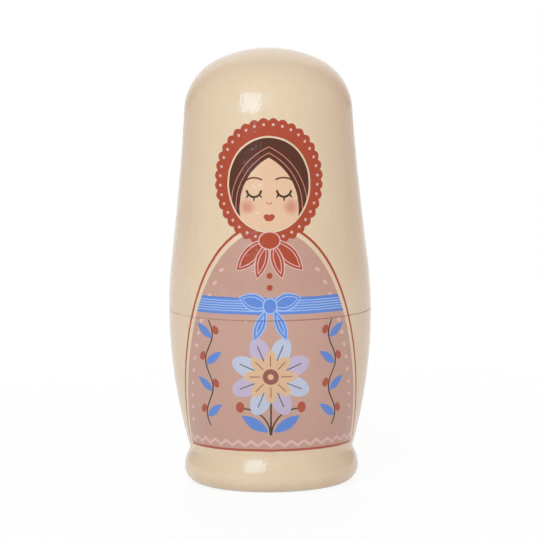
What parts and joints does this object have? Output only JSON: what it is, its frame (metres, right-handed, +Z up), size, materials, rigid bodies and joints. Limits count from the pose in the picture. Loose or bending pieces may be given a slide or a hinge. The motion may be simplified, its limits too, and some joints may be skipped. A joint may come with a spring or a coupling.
{
  "type": "nesting doll",
  "caption": "Turned wooden nesting doll with a beaded foot and a domed head; each hollow doll parts at its belly seam and holds a smaller one.",
  "frame": {"origin": "centre of the flat foot of the outer doll", "axes": "+Z up along the turning axis, the painted front faces -Y"},
  "size_m": [0.0696, 0.0696, 0.15],
  "materials": {
    "outer_paint": "cream paint under clear gloss lacquer, bare lime wood inside",
    "second_paint": "terracotta paint under clear gloss lacquer, bare lime wood inside",
    "third_paint": "blue paint under clear gloss lacquer, bare lime wood inside",
    "fourth_paint": "rose paint under clear gloss lacquer, bare lime wood inside",
    "smallest_paint": "lavender paint under clear gloss lacquer"
  },
  "bodies": {
    "outer_lower": {"outer_lower": "outer_paint"},
    "outer_upper": {"outer_upper": "outer_paint"},
    "second_lower": {"second_lower": "second_paint"},
    "second_upper": {"second_upper": "second_paint"},
    "third_lower": {"third_lower": "third_paint"},
    "third_upper": {"third_upper": "third_paint"},
    "fourth_lower": {"fourth_lower": "fourth_paint"},
    "fourth_upper": {"fourth_upper": "fourth_paint"},
    "smallest_doll": {"smallest_doll": "smallest_paint"}
  },
  "joints": [
    {"name": "second_lower_lift", "type": "slide", "parent": "outer_lower", "child": "second_lower", "axis": [0, 0, 1], "range_m": [0, 0.066]},
    {"name": "third_lower_lift", "type": "slide", "parent": "second_lower", "child": "third_lower", "axis": [0, 0, 1], "range_m": [0, 0.053]},
    {"name": "fourth_lower_lift", "type": "slide", "parent": "third_lower", "child": "fourth_lower", "axis": [0, 0, 1], "range_m": [0, 0.042]},
    {"name": "smallest_doll_lift", "type": "slide", "parent": "fourth_lower", "child": "smallest_doll", "axis": [0, 0, 1], "range_m": [0, 0.034]},
    {"name": "fourth_upper_lift", "type": "slide", "parent": "smallest_doll", "child": "fourth_upper", "axis": [0, 0, 1], "range_m": [0, 0.041]},
    {"name": "third_upper_lift", "type": "slide", "parent": "fourth_upper", "child": "third_upper", "axis": [0, 0, 1], "range_m": [0, 0.051]},
    {"name": "second_upper_lift", "type": "slide", "parent": "third_upper", "child": "second_upper", "axis": [0, 0, 1], "range_m": [0, 0.064]},
    {"name": "outer_upper_lift", "type": "slide", "parent": "second_upper", "child": "outer_upper", "axis": [0, 0, 1], "range_m": [0, 0.08]}
  ]
}
